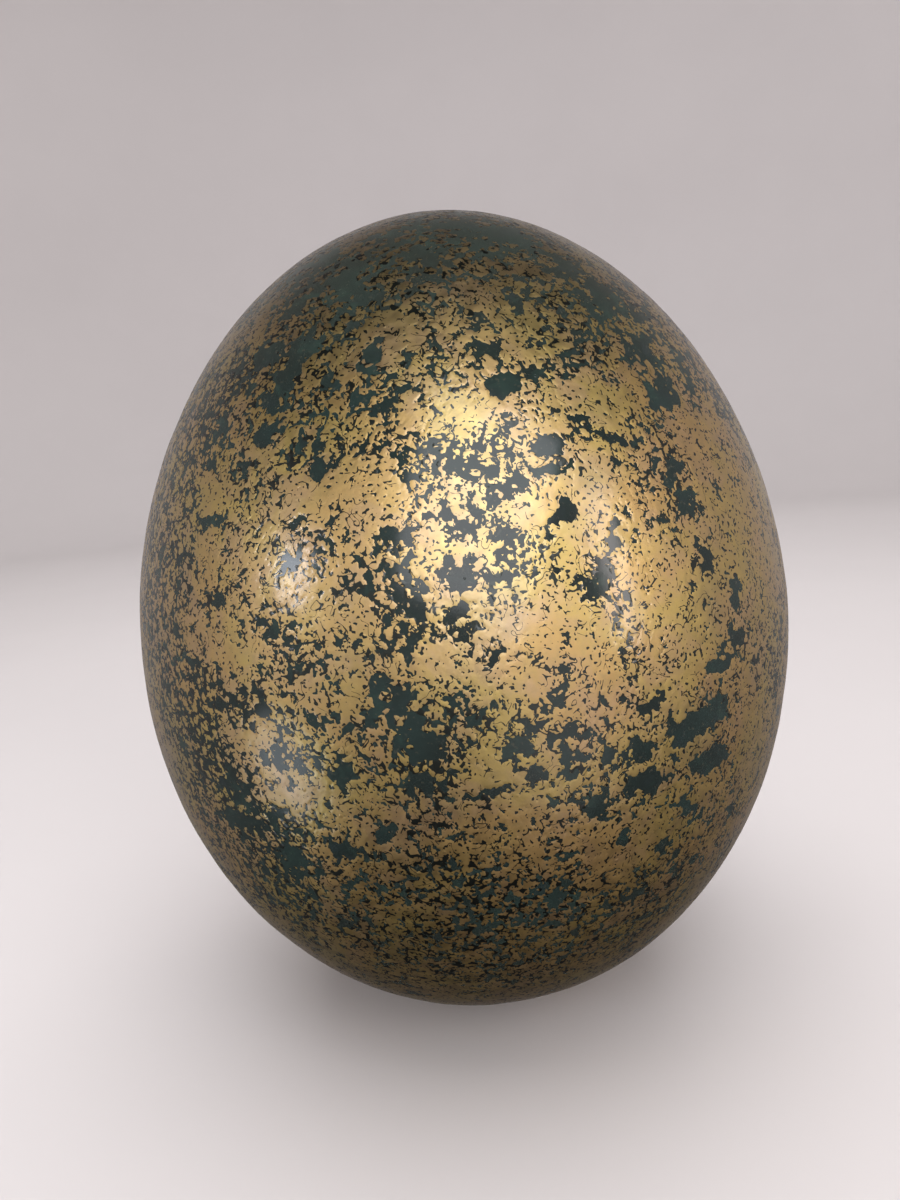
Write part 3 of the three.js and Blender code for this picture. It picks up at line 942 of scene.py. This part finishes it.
# the softly lit room: paler round the horizon, dim overhead and below
world = bpy.data.worlds.new("room")
bpy.context.scene.world = world
world.use_nodes = True
wt = world.node_tree
wt.nodes.clear()
w_out = wt.nodes.new("ShaderNodeOutputWorld")
w_bg = wt.nodes.new("ShaderNodeBackground")
w_co = wt.nodes.new("ShaderNodeTexCoord")
w_sep = wt.nodes.new("ShaderNodeSeparateXYZ")
w_map = wt.nodes.new("ShaderNodeMapRange")
w_map.inputs["From Min"].default_value = -1.0
w_map.inputs["From Max"].default_value = 1.0
w_ramp = wt.nodes.new("ShaderNodeValToRGB")
stops = ROOM_STOPS
while len(w_ramp.color_ramp.elements) < len(stops):
    w_ramp.color_ramp.elements.new(0.5)
for e, (z, v) in zip(w_ramp.color_ramp.elements, stops):
    e.position = (z + 1) / 2
    e.color = (ROOM_TONE[0] * v, ROOM_TONE[1] * v, ROOM_TONE[2] * v, 1)
wt.links.new(w_co.outputs["Generated"], w_sep.inputs[0])
wt.links.new(w_sep.outputs["Z"], w_map.inputs["Value"])
wt.links.new(w_map.outputs[0], w_ramp.inputs[0])
w_sum = w_ramp.outputs[0]
for way, out_at, full_at, strength, tint in ROOM_GLOWS:
    w_dot = wt.nodes.new("ShaderNodeVectorMath")
    w_dot.operation = "DOT_PRODUCT"
    w_dot.inputs[1].default_value = Vector(way).normalized()
    wt.links.new(w_co.outputs["Generated"], w_dot.inputs[0])
    w_near = wt.nodes.new("ShaderNodeMapRange")
    w_near.interpolation_type = "SMOOTHSTEP"
    w_near.inputs["From Min"].default_value = out_at
    w_near.inputs["From Max"].default_value = full_at
    w_near.inputs["To Max"].default_value = strength
    wt.links.new(w_dot.outputs["Value"], w_near.inputs["Value"])
    w_tint = wt.nodes.new("ShaderNodeVectorMath")
    w_tint.operation = "SCALE"
    w_tint.inputs[0].default_value = tint
    wt.links.new(w_near.outputs[0], w_tint.inputs["Scale"])
    w_add = wt.nodes.new("ShaderNodeVectorMath")
    w_add.operation = "ADD"
    wt.links.new(w_sum, w_add.inputs[0])
    wt.links.new(w_tint.outputs[0], w_add.inputs[1])
    w_sum = w_add.outputs[0]
wt.links.new(w_sum, w_bg.inputs["Color"])
w_bg.inputs["Strength"].default_value = 1.0
wt.links.new(w_bg.outputs[0], w_out.inputs["Surface"])
bpy.context.scene.view_settings.view_transform = "Standard"

# ---------------------------------------------------------------- camera
cam_data = bpy.data.cameras.new("camera")
cam_data.sensor_width = 36.0
cam_data.sensor_fit = "AUTO"
cam_data.lens = 27.06
cam_data.clip_start = 0.01
cam_data.dof.use_dof = False
camera = bpy.data.objects.new("camera", cam_data)
bpy.context.scene.collection.objects.link(camera)
camera.matrix_world = (Matrix.Translation((-2.22 * MM, -179.05 * MM, 112.75 * MM))
                       @ Matrix.Rotation(math.radians(90 - 10.26), 4, "X")
                       @ Matrix.Rotation(math.radians(-4.49), 4, "Z"))
bpy.context.scene.camera = camera

bpy.context.view_layer.update()
